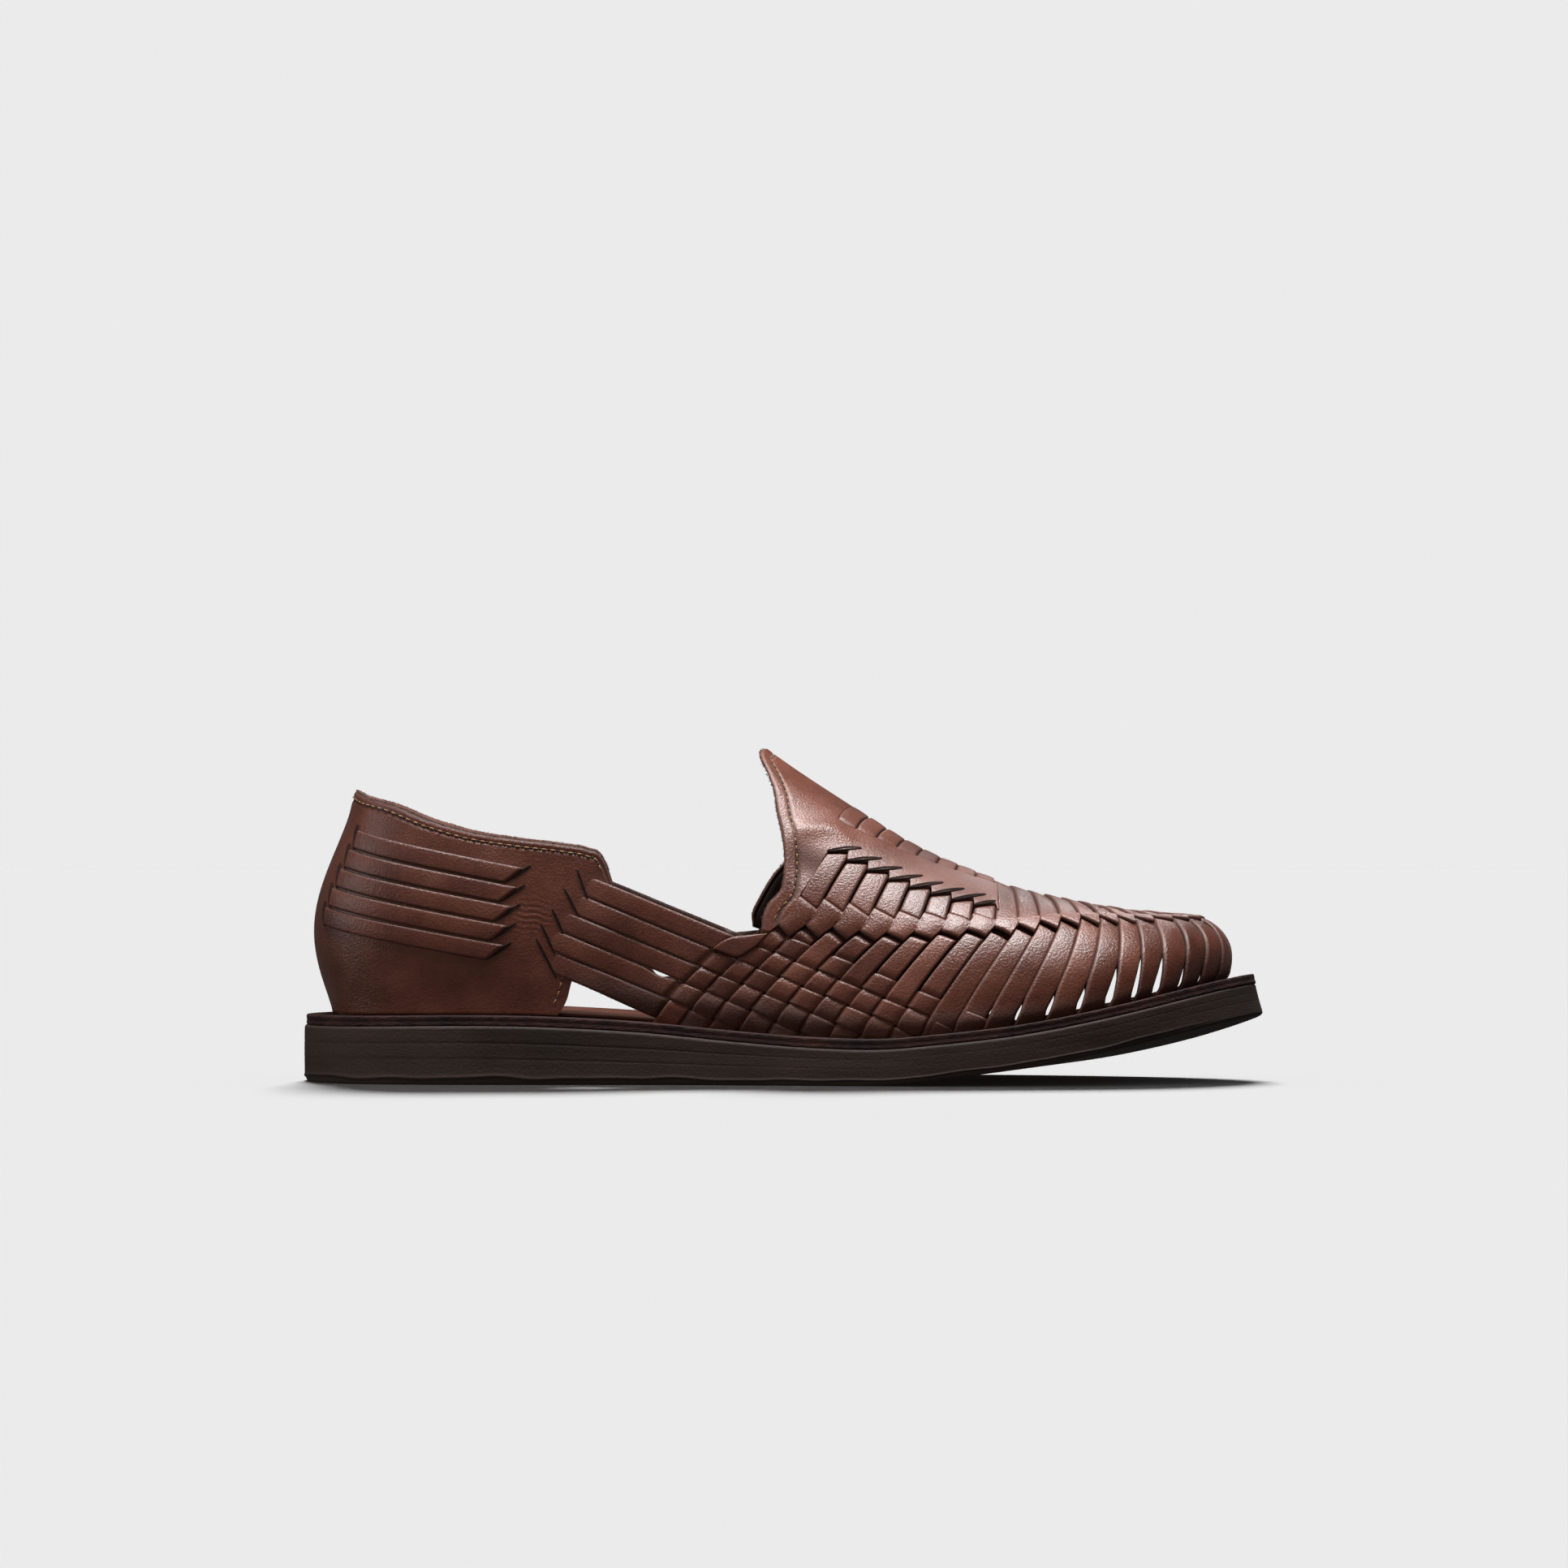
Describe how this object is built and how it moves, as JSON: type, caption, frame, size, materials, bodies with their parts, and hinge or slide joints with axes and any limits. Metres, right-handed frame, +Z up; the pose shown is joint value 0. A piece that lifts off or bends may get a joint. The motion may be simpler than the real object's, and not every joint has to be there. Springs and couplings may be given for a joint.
{
  "type": "woven leather loafer",
  "caption": "Low slip-on shoe for the right foot with a plain-woven strap front, open waist, strapped heel counter and a rubber sole with toe spring.",
  "frame": {"origin": "centre of the bounding box at its bottom, on the floor the shoe stands on", "axes": "+X from heel to toe, +Z up, -Y to the outer side of the right foot"},
  "size_m": [0.295, 0.1013, 0.1025],
  "materials": {
    "upper_leather": "waxed, satin gloss",
    "insole_leather": "smooth, matt",
    "midsole_leather": "cut edge, rough",
    "outsole_rubber": "matt"
  },
  "bodies": {
    "root": {"outsole": "outsole_rubber", "midsole": "midsole_leather", "insole": "insole_leather", "woven_upper": "upper_leather", "heel_counter": "upper_leather", "strap_run_outer_1": "upper_leather", "strap_run_outer_2": "upper_leather", "strap_run_outer_3": "upper_leather", "strap_run_outer_4": "upper_leather", "strap_run_outer_5": "upper_leather", "strap_run_inner_1": "upper_leather", "strap_run_inner_2": "upper_leather", "strap_run_inner_3": "upper_leather", "strap_run_inner_4": "upper_leather", "strap_run_inner_5": "upper_leather"}
  },
  "joints": []
}
